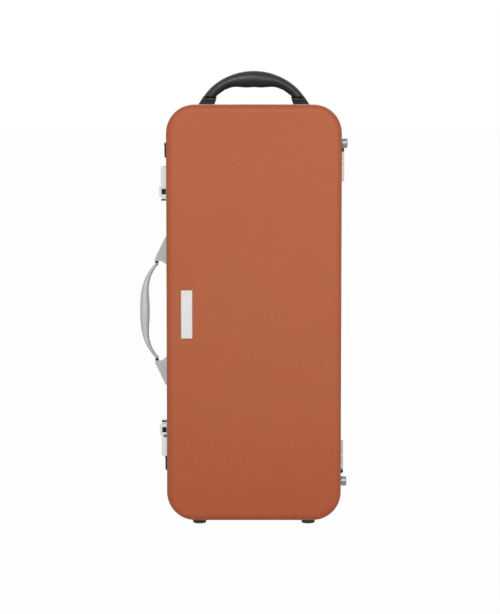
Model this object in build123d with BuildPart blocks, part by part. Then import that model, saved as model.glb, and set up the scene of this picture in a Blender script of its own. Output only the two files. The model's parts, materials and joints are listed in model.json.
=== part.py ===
from math import asin, degrees
import os

from build123d import *

os.makedirs("parts", exist_ok=True)

# The case stands on its short end. +X is its right side, where the hinges are, the lid faces -Y,
# and the origin is on the floor between the four standing feet. All sizes are in millimetres.

# Case shells
case_length = 680.0
case_width = 285.0
lid_depth = 58.0
base_depth = 82.0
corner_radius = 46.5
face_fillet = 12.0
wall = 4.0

# Clearances and the overrun of cuts
fit_gap = 0.3
bore_gap = 0.05
overrun = 5.0

# Metal rims and the rubber seal between them
rim_thickness = 1.0
rim_web = 2.0
rim_outer_leg = 14.0
rim_inner_leg = 8.0
rim_inner_thickness = 1.2
tongue_height = 4.0
tongue_thickness = 1.2
tongue_gap = 0.6
seal_width = 1.6
seal_thickness = 1.2

# Linings and dividers
side_cushion_thickness = 6.2
end_cushion_thickness = 11.7
floor_cushion_thickness = 12.0
lid_cushion_thickness = 18.0
cushion_rounding = 5.0
divider_thickness = 10.0
divider_setback = 12.0
divider_rounding = 3.0
well_width_shares = (0.27, 0.22, 0.22, 0.29)
boot_cross_share = 0.71
wing_cross_share = 0.78
bell_cross_share = 0.55

# Badge plate on the lid
badge_length = 79.5
badge_width = 19.3
badge_thickness = 1.4
badge_border = 1.2
badge_recess = 0.4
badge_corner = 1.5
badge_place_share = -0.767

# Standing feet and spine feet
foot_height = 7.0
foot_radius = 11.0
foot_rounding = 2.0
foot_place_share = 0.628
foot_depth_share = 0.6
foot_bore_radius = 4.6
foot_bore_depth = 3.5
foot_screw_head_radius = 4.2
foot_screw_head_height = 2.4
foot_screw_radius = 1.9
spine_foot_height = 9.5
spine_foot_radius = 8.1
spine_foot_bevel = 1.3
spine_foot_neck_radius = 7.1
spine_foot_neck_height = 1.5
spine_foot_stud_radius = 1.9
spine_foot_margin = 7.9

# Fasteners shared by the hardware
rivet_radius = 1.1
rivet_head_radius = 1.8
rivet_head_height = 1.0
rivet_dome_share = 0.85
screw_radius = 1.8
screw_head_radius = 3.6
screw_head_height = 1.8
socket_share = 0.5
socket_depth_share = 0.6

# Hinges
hinge_length = 49.0
hinge_place_share = 0.7005
knuckle_radius = 2.6
knuckle_count = 5
hinge_pin_radius = 1.3
hinge_head_length = 6.5
leaf_thickness = 1.4
leaf_width = 14.5
barrel_relief = 3.1
leaf_rivet_depth = 10.6
leaf_rivet_spread_share = 0.36

# Latches: body, hasp, keeper and thumb slide
latch_place_share = 0.6206
latch_plate_thickness = 2.0
latch_plate_width = 23.0
latch_setback = 1.0
latch_end_wall = 1.7
latch_end_wall_height = 9.6
latch_end_wall_width = 15.0
latch_rivet_inset = 2.3
ear_thickness = 3.0
ear_radius = 3.6
ear_gap = 0.5
hasp_zone = 32.0
hasp_pin_depth = 14.0
hasp_pin_height = 5.6
hasp_pin_radius = 1.5
hasp_barrel_radius = 3.2
hasp_crown = 10.0
hasp_reach = 12.5
hasp_nose_thickness = 2.6
hasp_nose_clearance = 1.0
hasp_plate_thickness = 2.6
hasp_rounding = 1.2
keeper_thickness = 1.6
keeper_length = 30.0
keeper_width = 18.5
keeper_hook = 2.4
keeper_ridge = 3.4
keeper_rivet_spread_share = 0.33
slide_travel = 3.0
slide_length = 18.5
slide_height = 13.5
slide_width = 17.0
slide_rounding = 1.5
slide_depth = 11.0
slide_grooves = 5
slide_groove = 0.7
rail_stem = 3.0
rail_stem_height = 1.8
rail_head = 7.0
rail_head_height = 1.4
block_length = 9.0
block_height = 7.0
spring_radius = 1.8
spring_wire = 0.5
spring_turns = 7
spring_seat = 13.0

# Strap rings on the left side
ring_wire = 3.0
ring_width = 30.0
ring_height = 22.5
ring_upper_corner = 3.5
ring_lower_corner = 9.0
ring_depth = 18.0
ring_upper_gap = 12.0
ring_lower_gap = 5.0
mount_thickness = 1.2
mount_width = 25.0
mount_height = 12.0
mount_lead = 3.0
mount_barrel_wall = 1.0
mount_barrel_length = 12.0
mount_rivet_spread = 18.0
mount_rivet_drop = 5.2

# Top handle
top_handle_depth = 26.0
top_axis_height = 8.0
top_bracket_outer = 91.5
top_bracket_inner = 65.0
top_bracket_width = 20.0
top_bracket_edge = 1.5
top_bracket_rounding = 1.6
top_seam_outer = 83.0
top_seam_inner = 60.6
top_ear_radius = 5.5
top_tongue = 7.4
top_tongue_radius = 4.7
top_neck_width = 4.4
top_pin_radius = 2.0
top_pin_inset = 1.5
top_grip_height = 55.6
top_grip_arc_radius = 104.0
top_grip_angle_shares = (0.0, 0.32, 0.62, 0.85, 1.0)
top_grip_reach_share = 0.922
top_grip_middle_thickness = 26.6
top_grip_thickness_shares = (1.0, 0.945, 0.72, 0.655, 0.645)
top_grip_depth = 25.0
top_grip_depth_shares = (1.0, 0.98, 0.94, 0.9, 0.88)
top_grip_end_depth = 21.0
top_grip_trim = 0.8
top_screw_spread = 10.0
top_screw_grip = 5.0

# Side handle
side_handle_depth = 13.0
side_axis_height = 18.0
side_bracket_outer = 122.5
side_bracket_inner = 75.0
side_bracket_face = 82.5
side_bracket_toe = 3.5
side_bracket_crest = 86.5
side_bracket_width = 20.0
side_bracket_tip_width = 13.0
side_bracket_throat = 9.3
side_bracket_rounding = 0.8
side_pin_radius = 1.4
side_pin_depth = 5.5
side_pin_reach = 4.2
side_boss_radius = 2.9
side_boss_length = 2.0
side_bush_thickness = 3.0
side_grip_height = 45.7
side_grip_drop = 24.65
side_grip_curve_power = 2.85
side_grip_thickness = 15.9
side_grip_depth = 22.0
side_grip_place_shares = (0.0, 0.22, 0.44, 0.65, 0.83, 1.0)
side_grip_thickness_shares = (1.0, 0.945, 0.765, 0.57, 0.46, 0.385)
side_grip_depth_shares = (1.0, 0.98, 0.91, 0.78, 0.6, 0.42)
side_screw_place = 112.0
side_screw_seat = 3.0
side_screw_head_radius = 2.9
side_screw_head_height = 1.8
side_stud_place = 92.0
side_stud_grip = 8.0

# Places worked out from the sizes
case_depth = lid_depth + base_depth
front_y = -case_depth / 2
back_y = case_depth / 2
seam_y = front_y + lid_depth
mid_z = foot_height + case_length / 2
top_z = foot_height + case_length
side_x = case_width / 2
seam_gap = seal_thickness + fit_gap
tongue_inset = wall + rim_inner_thickness + tongue_gap
base_rim_reach = tongue_inset + tongue_thickness
lining_inset = wall + fit_gap
cavity_width = case_width - 2 * (lining_inset + side_cushion_thickness)
cavity_length = case_length - 2 * (lining_inset + end_cushion_thickness)
cavity_radius = corner_radius - lining_inset - end_cushion_thickness
floor_y = back_y - wall - fit_gap - floor_cushion_thickness


def keep(piece, node):
    """Label a finished piece and write it to its own file."""
    piece.part.label = node
    export_step(piece.part, f"parts/{node}.step")


# Planes that the sketches lie on
def face_plane(y):
    """Parallel to the lid's face, centred on the case: x right, y up, extruding to the front."""
    return Plane(origin=(0, y, mid_z), x_dir=(1, 0, 0), z_dir=(0, -1, 0))


def left_section(z):
    """Across the left side: x outwards from it, y behind the seam, extruding downwards."""
    return Plane(origin=(-side_x, seam_y, z), x_dir=(-1, 0, 0), z_dir=(0, 0, -1))


def left_profile(y):
    """Along the left side: x up from mid-height, y outwards, extruding to the front."""
    return Plane(origin=(-side_x, y, mid_z), x_dir=(0, 0, 1), z_dir=(0, -1, 0))


def top_profile(y):
    """Above the case's top: x right, y up from it, extruding to the front."""
    return Plane(origin=(0, y, top_z), x_dir=(1, 0, 0), z_dir=(0, -1, 0))


def left_place(depth, z):
    """A place on the left side, depth behind the seam, facing outwards."""
    return Plane(origin=(-side_x, seam_y + depth, z), x_dir=(0, 0, 1), z_dir=(-1, 0, 0))


def right_place(depth, z):
    """A place on the right side, depth behind the seam, facing outwards."""
    return Plane(origin=(side_x, seam_y + depth, z), x_dir=(0, 0, 1), z_dir=(1, 0, 0))


def top_place(x, y):
    """A place on the case's top, facing upwards."""
    return Plane(origin=(x, y, top_z), x_dir=(1, 0, 0), z_dir=(0, 0, 1))


def bottom_place(x, y):
    """A place on the case's bottom, facing downwards."""
    return Plane(origin=(x, y, foot_height), x_dir=(1, 0, 0), z_dir=(0, 0, -1))


def raised(places, height):
    """The same places, lifted off the case by the thickness of a plate."""
    return [place.offset(height) for place in places]


def outline(inset, mode=Mode.ADD):
    """The case's outline, drawn in by an inset."""
    RectangleRounded(
        case_width - 2 * inset, case_length - 2 * inset, corner_radius - inset, mode=mode
    )


# Places of the fasteners and feet
foot_x = foot_place_share * side_x
lid_foot_y = foot_depth_share * front_y
base_foot_y = foot_depth_share * back_y
spine_foot_z = case_length / 2 - corner_radius - spine_foot_radius - spine_foot_margin
hinge_z = hinge_place_share * case_length / 2
leaf_rivet_spread = leaf_rivet_spread_share * hinge_length
latch_length = (
    latch_end_wall + slide_travel + fit_gap + slide_length + ear_gap + hasp_zone
)
latch_start = latch_place_share * case_length / 2 - latch_length / 2
latch_end = latch_start + latch_length
slide_start = latch_start + latch_end_wall + slide_travel + fit_gap
hasp_start = latch_end - hasp_zone
sink_height = screw_head_height / 2 - wall
latch_rivet_depth = latch_setback + latch_plate_width - latch_rivet_inset
keeper_middle = hasp_start + hasp_zone / 2
keeper_rivet_spread = keeper_rivet_spread_share * keeper_length
keeper_rivet_depth = keeper_width - rivet_head_radius - latch_setback / 2
ring_bar_places = (
    mid_z + latch_end + ring_upper_gap + ring_height + ring_wire / 2,
    mid_z - latch_end - ring_lower_gap,
)
top_handle_y = seam_y + top_handle_depth
top_bracket_middle = (top_bracket_outer + top_bracket_inner) / 2

base_feet_places = [bottom_place(x, base_foot_y) for x in (-foot_x, foot_x)]
lid_feet_places = [bottom_place(x, lid_foot_y) for x in (-foot_x, foot_x)]
spine_places = [
    right_place(lid_foot_y - seam_y, mid_z + end * spine_foot_z) for end in (-1, 1)
]
leaf_rivet_heights = [
    mid_z + end * hinge_z + step * leaf_rivet_spread for end in (-1, 1) for step in (-1, 0, 1)
]
base_leaf_rivets = [right_place(leaf_rivet_depth, z) for z in leaf_rivet_heights]
lid_leaf_rivets = [right_place(-leaf_rivet_depth, z) for z in leaf_rivet_heights]
latch_rivet_heights = [
    mid_z + end * place
    for end in (-1, 1)
    for place in (
        latch_start + latch_rivet_inset,
        hasp_start,
        latch_end - latch_rivet_inset,
    )
]
latch_rivet_places = [left_place(latch_rivet_depth, z) for z in latch_rivet_heights]
keeper_rivet_places = [
    left_place(-keeper_rivet_depth, mid_z + end * (keeper_middle + step * keeper_rivet_spread))
    for end in (-1, 1)
    for step in (-1, 1)
]
mount_rivet_places = [
    left_place(ring_depth + step * mount_rivet_spread / 2, bar - mount_rivet_drop)
    for bar in ring_bar_places
    for step in (-1, 1)
]
top_screw_places = [
    top_place(end * top_bracket_middle, top_handle_y + step * top_screw_spread / 2)
    for end in (-1, 1)
    for step in (-1, 1)
]
side_screw_places = [
    left_place(side_handle_depth, mid_z + end * side_screw_place) for end in (-1, 1)
]
side_stud_places = [
    left_place(side_handle_depth, mid_z + end * side_stud_place) for end in (-1, 1)
]


# Shells
def make_shell(toward, depth):
    """One half of the case, a tray open at the seam, with a rebate for its rim's outer leg."""
    edge = seam_gap / 2 + rim_web
    edge_plane = face_plane(seam_y - toward * edge)
    outer_index = 0 if toward > 0 else -1
    with BuildPart() as shell:
        with BuildSketch(edge_plane):
            outline(0)
        extrude(amount=toward * (depth - edge))
        outer_face = shell.faces().sort_by(Axis.Y)[outer_index]
        fillet(outer_face.edges(), radius=face_fillet)
        with BuildSketch(edge_plane):
            outline(wall)
        extrude(amount=toward * (depth - edge - wall), mode=Mode.SUBTRACT)
        inner_face = shell.faces(Select.LAST).filter_by(Axis.Y).sort_by(Axis.Y)[outer_index]
        fillet(inner_face.edges(), radius=face_fillet - wall)
        with BuildSketch(edge_plane):
            outline(0)
            outline(rim_thickness, mode=Mode.SUBTRACT)
        extrude(amount=toward * (rim_outer_leg - rim_web), mode=Mode.SUBTRACT)
    return shell


def bore_wall(places, radius):
    """Holes through the wall, bored from outside."""
    with Locations(*places):
        Hole(radius=radius + bore_gap, depth=wall + overrun)


def sink_wall(places):
    """Holes through the wall, countersunk inside for flush screw heads."""
    with Locations(*places):
        Hole(radius=screw_radius + bore_gap, depth=wall + overrun)
    with Locations(*raised(places, sink_height)):
        Cone(
            screw_head_radius + bore_gap,
            screw_radius + bore_gap,
            screw_head_height,
            mode=Mode.SUBTRACT,
        )


base_shell = make_shell(-1, base_depth)
with base_shell:
    bore_wall(base_feet_places, foot_screw_radius)
    bore_wall(base_leaf_rivets + latch_rivet_places + mount_rivet_places, rivet_radius)
    bore_wall(side_screw_places, screw_radius)
    sink_wall(top_screw_places + side_stud_places)
keep(base_shell, "base_shell")

lid_shell = make_shell(1, lid_depth)
with lid_shell:
    bore_wall(lid_feet_places, foot_screw_radius)
    bore_wall(spine_places, spine_foot_stud_radius)
    bore_wall(lid_leaf_rivets + keeper_rivet_places, rivet_radius)
keep(lid_shell, "lid_shell")


# Rims
def make_rim(toward, reach, rivets):
    """A channel that caps a shell's open edge: web, flush outer leg and short inner leg."""
    rim_plane = face_plane(seam_y - toward * seam_gap / 2)
    with BuildPart() as rim:
        with BuildSketch(rim_plane):
            outline(0)
            outline(reach, mode=Mode.SUBTRACT)
        extrude(amount=toward * rim_web)
        with BuildSketch(rim_plane):
            outline(0)
            outline(rim_thickness, mode=Mode.SUBTRACT)
        extrude(amount=toward * rim_outer_leg)
        with BuildSketch(rim_plane):
            outline(wall)
            outline(wall + rim_inner_thickness, mode=Mode.SUBTRACT)
        extrude(amount=toward * rim_inner_leg)
        bore_wall(rivets, rivet_radius)
    return rim


with BuildSketch(face_plane(seam_y + seam_gap / 2)) as tongue_ring:
    outline(tongue_inset)
    outline(base_rim_reach, mode=Mode.SUBTRACT)

base_rim = make_rim(-1, base_rim_reach, base_leaf_rivets + mount_rivet_places)
with base_rim:
    extrude(tongue_ring.sketch, amount=seam_gap + tongue_height)
    bore_wall(side_screw_places + side_stud_places, screw_radius)
keep(base_rim, "base_rim")

lid_rim = make_rim(1, wall + rim_inner_thickness, lid_leaf_rivets)
keep(lid_rim, "lid_rim")

with BuildPart() as rim_seal:
    with BuildSketch(face_plane(seam_y + seam_gap / 2)):
        outline(rim_thickness)
        outline(rim_thickness + seal_width, mode=Mode.SUBTRACT)
    extrude(amount=seal_thickness)
keep(rim_seal, "rim_seal")

# Linings
with BuildPart() as floor_cushion:
    with BuildSketch(face_plane(floor_y)):
        outline(lining_inset)
    extrude(amount=-floor_cushion_thickness)
    fillet(floor_cushion.faces().sort_by(Axis.Y)[-1].edges(), radius=face_fillet - wall)
keep(floor_cushion, "floor_cushion")

lining_y = seam_y + seam_gap / 2 + rim_inner_leg + fit_gap
with BuildPart() as wall_cushion:
    with BuildSketch(face_plane(lining_y)):
        outline(lining_inset)
        RectangleRounded(cavity_width, cavity_length, cavity_radius, mode=Mode.SUBTRACT)
    extrude(amount=lining_y - floor_y)
    lip = wall_cushion.faces().sort_by(Axis.Y)[0]
    fillet(lip.inner_wires().edges(), radius=divider_rounding)
keep(wall_cushion, "wall_cushion")

lid_cushion_y = front_y + wall + fit_gap
with BuildPart() as lid_cushion:
    with BuildSketch(face_plane(lid_cushion_y)):
        outline(lining_inset)
    extrude(amount=-lid_cushion_thickness)
    fillet(lid_cushion.faces().sort_by(Axis.Y)[0].edges(), radius=face_fillet - wall)
    fillet(lid_cushion.faces().sort_by(Axis.Y)[-1].edges(), radius=cushion_rounding)
keep(lid_cushion, "lid_cushion")

# Dividers, which part the cavity into four columns and close off a compartment in three of them
wells_width = cavity_width - (len(well_width_shares) - 1) * divider_thickness
column_edges = []
column_left = -cavity_width / 2
for share in well_width_shares:
    column_edges.append((column_left, column_left + share * wells_width))
    column_left = column_edges[-1][1] + divider_thickness
divider_y = seam_y + divider_setback


def make_divider(x_low, x_high, z_low, z_high):
    """An upholstered board that stands on the floor cushion, rounded along its front edge."""
    with BuildPart() as divider:
        with BuildSketch(face_plane(divider_y)):
            with Locations(((x_low + x_high) / 2, (z_low + z_high) / 2)):
                Rectangle(x_high - x_low, z_high - z_low)
        extrude(amount=divider_y - floor_y)
        front = divider.faces().sort_by(Axis.Y)[0]
        run = Axis.Z if z_high - z_low > x_high - x_low else Axis.X
        fillet(front.edges().filter_by(run), radius=divider_rounding)
    return divider


divider_names = ("boot_divider", "long_joint_divider", "bell_divider")
for index, node in enumerate(divider_names):
    divider_left = column_edges[index][1]
    divider_right = column_edges[index + 1][0]
    keep(
        make_divider(divider_left, divider_right, -cavity_length / 2, cavity_length / 2), node
    )

cross_dividers = (
    ("boot_cross_divider", column_edges[0], boot_cross_share),
    ("wing_cross_divider", column_edges[2], wing_cross_share),
    ("bell_cross_divider", column_edges[3], bell_cross_share),
)
for node, (left, right), share in cross_dividers:
    cross_z = -cavity_length / 2 + share * (cavity_length - divider_thickness)
    keep(make_divider(left, right, cross_z, cross_z + divider_thickness), node)

# Badge plate, bare inside its raised border
badge_x = badge_place_share * side_x
with BuildPart() as badge_plate:
    with BuildSketch(face_plane(front_y)):
        with Locations((badge_x, 0)):
            RectangleRounded(badge_width, badge_length, badge_corner)
    extrude(amount=badge_thickness)
    chamfer(badge_plate.faces().sort_by(Axis.Y)[0].edges(), length=badge_recess)
    with BuildSketch(face_plane(front_y - badge_thickness)):
        with Locations((badge_x, 0)):
            Rectangle(badge_width - 2 * badge_border, badge_length - 2 * badge_border)
    extrude(amount=-badge_recess, mode=Mode.SUBTRACT)
keep(badge_plate, "badge_plate")


# Feet
def make_feet(places):
    """Rubber feet with a rounded lower edge and a recess for the screw head."""
    with BuildPart() as foot:
        Cylinder(foot_radius, foot_height, align=(Align.CENTER, Align.CENTER, Align.MIN))
        fillet(foot.edges().sort_by(Axis.Z)[-1], radius=foot_rounding)
        with Locations((0, 0, foot_height)):
            CounterBoreHole(foot_screw_radius + bore_gap, foot_bore_radius, foot_bore_depth)
    with BuildPart() as feet:
        with Locations(*places):
            add(foot.part)
    return feet


def make_screws(places, head_radius, head_height, shank_radius, shank_length):
    """Cylinder-head screws with a hexagon socket, their heads standing on the places."""
    with BuildPart() as screw:
        Cylinder(head_radius, head_height, align=(Align.CENTER, Align.CENTER, Align.MIN))
        Cylinder(shank_radius, shank_length, align=(Align.CENTER, Align.CENTER, Align.MAX))
        with BuildSketch(Plane.XY.offset(head_height)):
            RegularPolygon(head_radius * socket_share, side_count=6)
        extrude(amount=-head_height * socket_depth_share, mode=Mode.SUBTRACT)
    with BuildPart() as screws:
        with Locations(*places):
            add(screw.part)
    return screws


foot_screw_seat = foot_height - foot_bore_depth
for body, places in (("base", base_feet_places), ("lid", lid_feet_places)):
    keep(make_feet(places), f"{body}_feet")
    foot_screws = make_screws(
        raised(places, foot_screw_seat),
        foot_screw_head_radius,
        foot_screw_head_height,
        foot_screw_radius,
        foot_screw_seat + wall,
    )
    keep(foot_screws, f"{body}_foot_screws")

# Spine feet: turned metal, each with a neck, a bevelled end and a stud through the wall
with BuildPart() as spine_foot:
    Cylinder(spine_foot_radius, spine_foot_height, align=(Align.CENTER, Align.CENTER, Align.MIN))
    chamfer(spine_foot.edges().sort_by(Axis.Z)[-1], length=spine_foot_bevel)
    with BuildSketch(Plane.XY):
        Circle(spine_foot_radius + overrun)
        Circle(spine_foot_neck_radius, mode=Mode.SUBTRACT)
    extrude(amount=spine_foot_neck_height, mode=Mode.SUBTRACT)
    Cylinder(spine_foot_stud_radius, wall, align=(Align.CENTER, Align.CENTER, Align.MAX))
with BuildPart() as lid_spine_feet:
    with Locations(*spine_places):
        add(spine_foot.part)
keep(lid_spine_feet, "lid_spine_feet")


# Rivets
def make_rivets(places, plate_thickness):
    """Dome-head rivets that hold a plate of this thickness on the case's wall."""
    with BuildPart() as rivet:
        Cylinder(
            rivet_head_radius, rivet_head_height, align=(Align.CENTER, Align.CENTER, Align.MIN)
        )
        dome = rivet.edges().sort_by(Axis.Z)[-1]
        fillet(dome, radius=rivet_head_height * rivet_dome_share)
        Cylinder(
            rivet_radius, plate_thickness + wall, align=(Align.CENTER, Align.CENTER, Align.MAX)
        )
    with BuildPart() as rivets:
        with Locations(*raised(places, plate_thickness)):
            add(rivet.part)
    return rivets


keep(make_rivets(base_leaf_rivets, leaf_thickness), "hinge_base_rivets")
keep(make_rivets(lid_leaf_rivets, leaf_thickness), "hinge_lid_rivets")
keep(make_rivets(latch_rivet_places, latch_plate_thickness), "latch_rivets")
keep(make_rivets(keeper_rivet_places, keeper_thickness), "keeper_rivets")
keep(make_rivets(mount_rivet_places, mount_thickness), "ring_mount_rivets")

# Hinges
hinge_x = side_x + fit_gap + knuckle_radius
knuckle_length = (hinge_length - (knuckle_count - 1) * fit_gap) / knuckle_count


def make_leaf(middle, behind, first_knuckle, rivets):
    """A hinge leaf: its plate on the case's side, and every second knuckle round the pin."""
    low = middle - hinge_length / 2
    with BuildPart() as leaf:
        with BuildSketch(Plane.XY.offset(low)):
            plate_middle = seam_y + behind * (barrel_relief + leaf_width) / 2
            with Locations((side_x + leaf_thickness / 2, plate_middle)):
                Rectangle(leaf_thickness, leaf_width - barrel_relief)
        extrude(amount=hinge_length)
        for index in range(first_knuckle, knuckle_count, 2):
            with BuildSketch(Plane.XY.offset(low + index * (knuckle_length + fit_gap))):
                with Locations((side_x + leaf_thickness / 2, seam_y + behind * barrel_relief / 2)):
                    Rectangle(leaf_thickness, barrel_relief)
                with Locations((hinge_x, seam_y)):
                    Circle(knuckle_radius)
                    Circle(hinge_pin_radius + bore_gap, mode=Mode.SUBTRACT)
            extrude(amount=knuckle_length)
        with Locations(*raised(rivets, leaf_thickness)):
            Hole(radius=rivet_radius + bore_gap, depth=leaf_thickness + overrun)
    return leaf


for height, end in (("lower", -1), ("upper", 1)):
    middle = mid_z + end * hinge_z
    keep(make_leaf(middle, 1, 0, base_leaf_rivets), f"hinge_base_leaf_{height}")
    keep(make_leaf(middle, -1, 1, lid_leaf_rivets), f"hinge_lid_leaf_{height}")

with BuildPart() as hinge_pins:
    for end in (-1, 1):
        outer_end = mid_z + end * (hinge_z + hinge_length / 2)
        with BuildSketch(Plane((hinge_x, seam_y, outer_end))):
            Circle(hinge_pin_radius)
        extrude(amount=-end * hinge_length)
        with BuildSketch(Plane((hinge_x, seam_y, outer_end + end * fit_gap))):
            Circle(knuckle_radius)
        extrude(amount=end * hinge_head_length)
        with BuildSketch(Plane((hinge_x, seam_y, outer_end))):
            Circle(hinge_pin_radius)
        extrude(amount=end * (fit_gap + hinge_head_length / 2))
    head_ends = hinge_pins.faces().filter_by(Axis.Z).sort_by(Axis.Z)
    outer_edges = [*head_ends[0].edges(), *head_ends[-1].edges()]
    fillet(outer_edges, radius=knuckle_radius * rivet_dome_share)
keep(hinge_pins, "hinge_pins")

# Latches. The upper one is drawn, and the lower one is its mirror image about mid-height.
mid_plane = Plane.XY.offset(mid_z)


def keep_pair(piece, node):
    """Write an upper piece, and its mirror image as the lower one."""
    keep(piece, f"{node}_upper")
    with BuildPart() as lower:
        mirror(piece.part, about=mid_plane)
    keep(lower, f"{node}_lower")


ear_heights = (mid_z + latch_end, mid_z + hasp_start + ear_thickness)
rail_top = latch_plate_thickness + rail_stem_height + rail_head_height
with BuildPart() as latch_body:
    with BuildSketch(left_section(mid_z + latch_end)):
        with Locations((0, latch_setback)):
            Rectangle(
                latch_plate_thickness, latch_plate_width, align=(Align.MIN, Align.MIN)
            )
    extrude(amount=latch_length)
    with BuildSketch(left_section(mid_z + hasp_start - ear_gap)):
        with Locations((latch_plate_thickness, slide_depth)):
            Rectangle(rail_stem_height, rail_stem, align=(Align.MIN, Align.CENTER))
        with Locations((latch_plate_thickness + rail_stem_height, slide_depth)):
            Rectangle(rail_head_height, rail_head, align=(Align.MIN, Align.CENTER))
    extrude(amount=hasp_start - ear_gap - latch_start)
    with BuildSketch(left_section(mid_z + latch_start + latch_end_wall)):
        with Locations((0, slide_depth)):
            Rectangle(
                latch_end_wall_height, latch_end_wall_width, align=(Align.MIN, Align.CENTER)
            )
    extrude(amount=latch_end_wall)
    for ear_height in ear_heights:
        with BuildSketch(left_section(ear_height)):
            with Locations((hasp_pin_height, hasp_pin_depth)):
                Circle(ear_radius)
            with Locations((0, hasp_pin_depth)):
                Rectangle(hasp_pin_height, 2 * ear_radius, align=(Align.MIN, Align.CENTER))
            with Locations((hasp_pin_height, hasp_pin_depth)):
                Circle(hasp_pin_radius + bore_gap, mode=Mode.SUBTRACT)
        extrude(amount=ear_thickness)
    with Locations(*raised(latch_rivet_places, latch_plate_thickness)):
        Hole(radius=rivet_radius + bore_gap, depth=latch_plate_thickness + overrun)
keep_pair(latch_body, "latch_body")

hasp_length = hasp_zone - 2 * fit_gap
nose_inner = -(hasp_reach - hasp_nose_thickness)
nose_tip = keeper_thickness + hasp_nose_clearance
barrel_top = hasp_pin_height + hasp_barrel_radius
with BuildPart() as hasp:
    with BuildSketch(left_section(mid_z + latch_end - fit_gap)):
        with BuildLine():
            ThreePointArc(
                (barrel_top, hasp_pin_depth), (hasp_crown, 0), (hasp_crown, nose_inner)
            )
            Polyline(
                (hasp_crown, nose_inner),
                (hasp_crown - hasp_nose_thickness, -hasp_reach),
                (nose_tip, -hasp_reach),
                (nose_tip, nose_inner),
                (hasp_crown - hasp_plate_thickness, nose_inner),
                (hasp_pin_height, hasp_pin_depth - hasp_barrel_radius),
                (hasp_pin_height, hasp_pin_depth),
                (barrel_top, hasp_pin_depth),
            )
        make_face()
    extrude(amount=hasp_length)
    crown_edges = hasp.edges().filter_by(Axis.Z).sort_by(Axis.X)[:2]
    fillet(crown_edges, radius=hasp_rounding)
    ear_clearance = ear_radius + fit_gap
    for ear_height in ear_heights:
        with BuildSketch(left_section(ear_height + fit_gap)):
            with Locations((hasp_pin_height, hasp_pin_depth)):
                Circle(ear_clearance)
        extrude(amount=ear_thickness + 2 * fit_gap, mode=Mode.SUBTRACT)
    with BuildSketch(left_section(mid_z + latch_end - ear_thickness - fit_gap)):
        with Locations((hasp_pin_height, hasp_pin_depth)):
            Circle(hasp_barrel_radius)
    extrude(amount=hasp_zone - 2 * (ear_thickness + fit_gap))
    with BuildSketch(left_section(mid_z + latch_end)):
        with Locations((hasp_pin_height, hasp_pin_depth)):
            Circle(hasp_pin_radius + bore_gap)
    extrude(amount=hasp_zone, mode=Mode.SUBTRACT)
keep_pair(hasp, "hasp")

with BuildPart() as hasp_pins:
    for pin_top in (mid_z + latch_end, mid_z - hasp_start):
        with BuildSketch(left_section(pin_top)):
            with Locations((hasp_pin_height, hasp_pin_depth)):
                Circle(hasp_pin_radius)
        extrude(amount=hasp_zone)
keep(hasp_pins, "hasp_pins")

ridge_top = nose_tip + keeper_hook
with BuildPart() as keeper:
    with BuildSketch(left_section(mid_z + keeper_middle + keeper_length / 2)):
        with Locations((0, -latch_setback)):
            Rectangle(keeper_thickness, keeper_width, align=(Align.MIN, Align.MAX))
        with BuildLine():
            Polyline(
                (0, nose_inner + fit_gap),
                (ridge_top, nose_inner + fit_gap),
                (ridge_top, nose_inner + fit_gap + keeper_ridge / 2),
                (0, nose_inner + fit_gap + keeper_ridge),
                close=True,
            )
        make_face()
    extrude(amount=keeper_length)
    with Locations(*raised(keeper_rivet_places, keeper_thickness)):
        Hole(radius=rivet_radius + bore_gap, depth=keeper_thickness + overrun)
keep_pair(keeper, "keeper")

# Thumb slide: a metal saddle over a dark block, both running on the body's T-rail
slide_foot = latch_plate_thickness + fit_gap
block_start = slide_start + (slide_length - block_length) / 2
spring_axis = rail_top + fit_gap + spring_radius + spring_wire
spring_bore = spring_radius + fit_gap


def cut_rail_and_spring():
    """The T-slot for the rail and the blind bore for the spring."""
    with BuildSketch(left_section(mid_z + slide_start + slide_length + overrun)) as slot:
        with Locations((0, slide_depth)):
            Rectangle(
                rail_top, rail_stem + 2 * fit_gap, align=(Align.MIN, Align.CENTER)
            )
        with Locations((latch_plate_thickness + rail_stem_height - fit_gap, slide_depth)):
            Rectangle(
                rail_head_height + 2 * fit_gap,
                rail_head + 2 * fit_gap,
                align=(Align.MIN, Align.CENTER),
            )
    extrude(slot.sketch, amount=slide_length + 2 * overrun, mode=Mode.SUBTRACT)
    with BuildSketch(left_section(mid_z + slide_start + spring_seat)) as bore:
        with Locations((spring_axis, slide_depth)):
            Circle(spring_bore)
    extrude(bore.sketch, amount=spring_seat + overrun, mode=Mode.SUBTRACT)


with BuildPart() as slide:
    with BuildSketch(left_section(mid_z + slide_start + slide_length)):
        with Locations((slide_foot, slide_depth)):
            Rectangle(
                slide_height - slide_foot, slide_width, align=(Align.MIN, Align.CENTER)
            )
    extrude(amount=slide_length)
    crown_face = slide.faces().sort_by(Axis.X)[0]
    fillet(crown_face.edges(), radius=slide_rounding)
    groove_pitch = (slide_length - 2 * slide_rounding) / (slide_grooves + 1)
    for index in range(slide_grooves):
        groove_z = mid_z + slide_start + slide_rounding + (index + 1) * groove_pitch
        with BuildSketch(left_section(groove_z + slide_groove / 2)):
            with Locations((slide_height, slide_depth)):
                Rectangle(2 * slide_groove, slide_width, align=(Align.CENTER, Align.CENTER))
        extrude(amount=slide_groove, mode=Mode.SUBTRACT)
    with BuildSketch(left_section(mid_z + block_start + block_length)):
        with Locations((0, slide_depth)):
            Rectangle(
                slide_foot + block_height, slide_width + overrun, align=(Align.MIN, Align.CENTER)
            )
    extrude(amount=block_length, mode=Mode.SUBTRACT)
    cut_rail_and_spring()
keep_pair(slide, "slide")

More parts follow.
